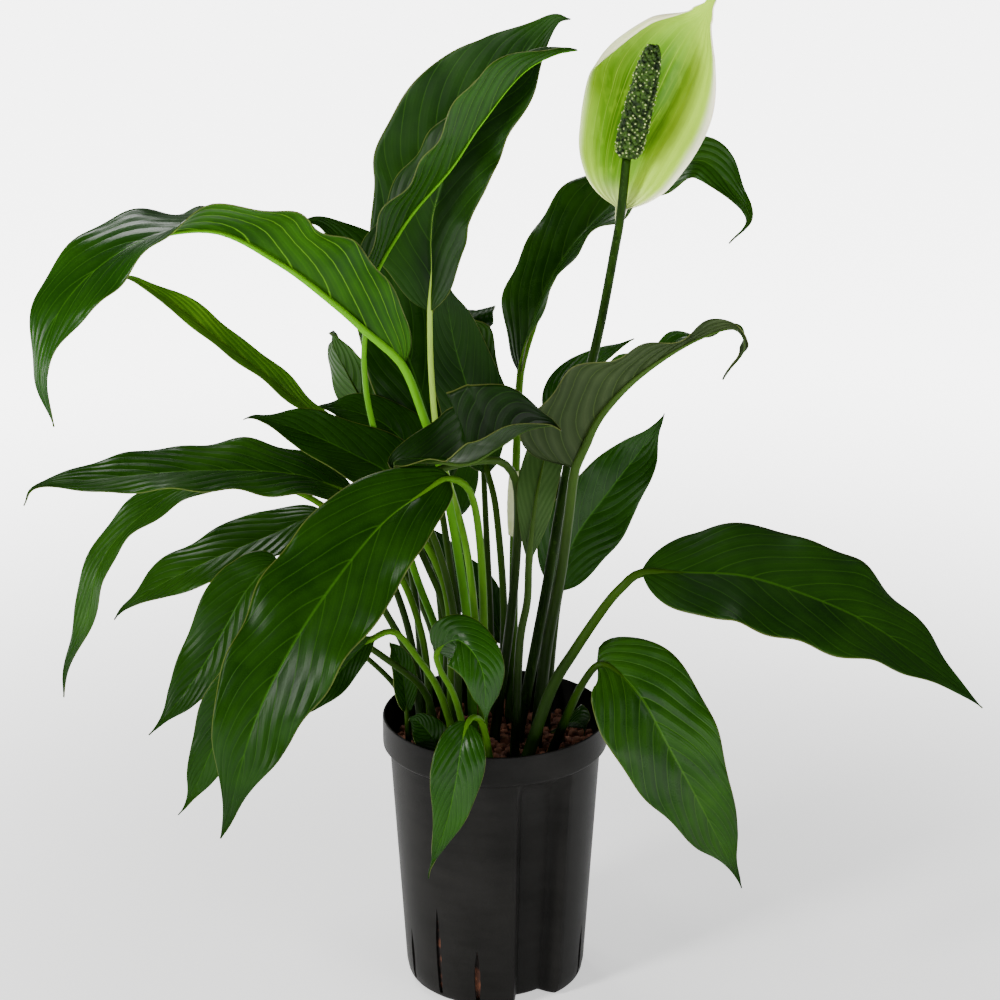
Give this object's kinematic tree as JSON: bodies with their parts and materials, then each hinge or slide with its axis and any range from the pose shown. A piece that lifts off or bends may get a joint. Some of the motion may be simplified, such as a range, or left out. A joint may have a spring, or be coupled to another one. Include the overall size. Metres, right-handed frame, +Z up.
{
  "type": "potted plant",
  "caption": "peace lily in a plastic nursery pot with a fluted side, arching lance-shaped leaves and one spathe flower",
  "frame": {"origin": "centre of the flat underside of the pot", "axes": "+Z up along the pot's axis, -Y towards the front of the plant, +X to the right seen from the front"},
  "size_m": [0.586, 0.4055, 0.6609],
  "materials": {
    "pot_plastic": "satin charcoal moulded plastic",
    "clay": "rough fired clay",
    "leaf_green": "glossy dark leaf",
    "leaf_bright": "glossy bright leaf",
    "leaf_dark": "glossy dark leaf",
    "leaf_underside": "satin grey-green leaf underside",
    "stalk_green": "satin stalk",
    "spathe_cream": "satin petal",
    "spadix_green": "rough florets"
  },
  "bodies": {
    "root": {"pot": "pot_plastic", "clay_granules": "clay", "leaf_arching": "leaf_bright", "leaf_tall": "leaf_green", "leaf_folded": "leaf_bright", "leaf_right_upper": "leaf_green", "leaf_right_middle": "leaf_underside", "leaf_right_behind": "leaf_green", "leaf_narrow": "leaf_underside", "leaf_right_erect": "leaf_green", "leaf_right_long": "leaf_green", "leaf_right_low": "leaf_green", "leaf_centre": "leaf_green", "leaf_centre_dark": "leaf_dark", "leaf_left_rolled": "leaf_bright", "leaf_left_long": "leaf_green", "leaf_left_drooping": "leaf_dark", "leaf_left_middle": "leaf_green", "leaf_front_large": "leaf_green", "leaf_left_low": "leaf_green", "leaf_left_hanging": "leaf_dark", "leaf_left_small": "leaf_dark", "leaf_brown_edge": "leaf_dark", "leaf_mid_left": "leaf_green", "leaf_mid_behind": "leaf_dark", "leaf_back_tall": "leaf_dark", "leaf_olive": "leaf_underside", "leaf_front_small": "leaf_green", "leaf_back_square": "leaf_dark", "leaf_over_rim": "leaf_green", "leaf_in_pot_right": "leaf_dark", "leaf_behind_stems": "leaf_dark", "leaf_in_pot_left": "leaf_dark", "leaf_young": "leaf_green", "leaf_curled": "leaf_dark", "leaf_rear_centre": "leaf_green", "leaf_rear_left": "leaf_green", "leaf_rear_right": "leaf_green", "flower_stalk": "stalk_green", "spathe": "spathe_cream", "spadix": "spadix_green"}
  },
  "joints": []
}
